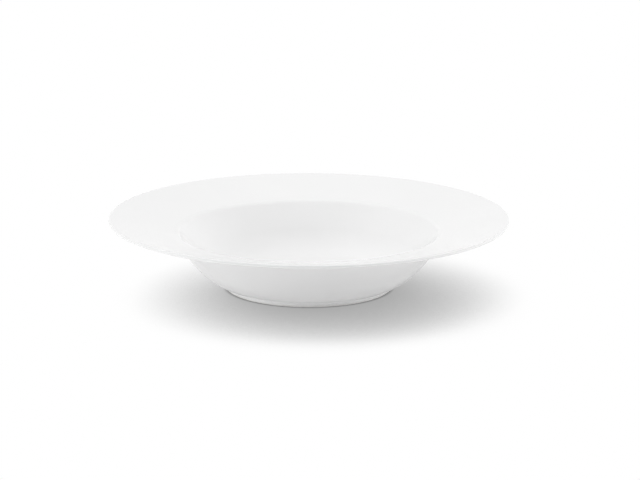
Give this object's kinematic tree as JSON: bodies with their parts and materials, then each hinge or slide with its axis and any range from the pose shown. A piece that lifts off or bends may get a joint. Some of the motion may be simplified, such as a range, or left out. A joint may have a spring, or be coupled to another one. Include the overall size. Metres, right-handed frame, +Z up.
{
  "type": "rim soup plate",
  "caption": "Round white glazed porcelain soup plate with a wide sloping rim, a deep coved well and a low foot ring to stand on.",
  "frame": {"origin": "centre of the foot ring's standing face, on the plate's axis, level with the table", "axes": "+Z up along the axis that the plate is turned about; X and Y lie in the table's plane and are alike"},
  "size_m": [0.23, 0.23, 0.0415],
  "materials": {
    "bare_porcelain": "matte, unglazed, wiped at the standing edge",
    "white_glaze": "clear gloss glaze on white porcelain"
  },
  "bodies": {
    "root": {"porcelain_body": "bare_porcelain", "glaze_coat": "white_glaze", "foot_recess_glaze": "white_glaze"}
  },
  "joints": []
}
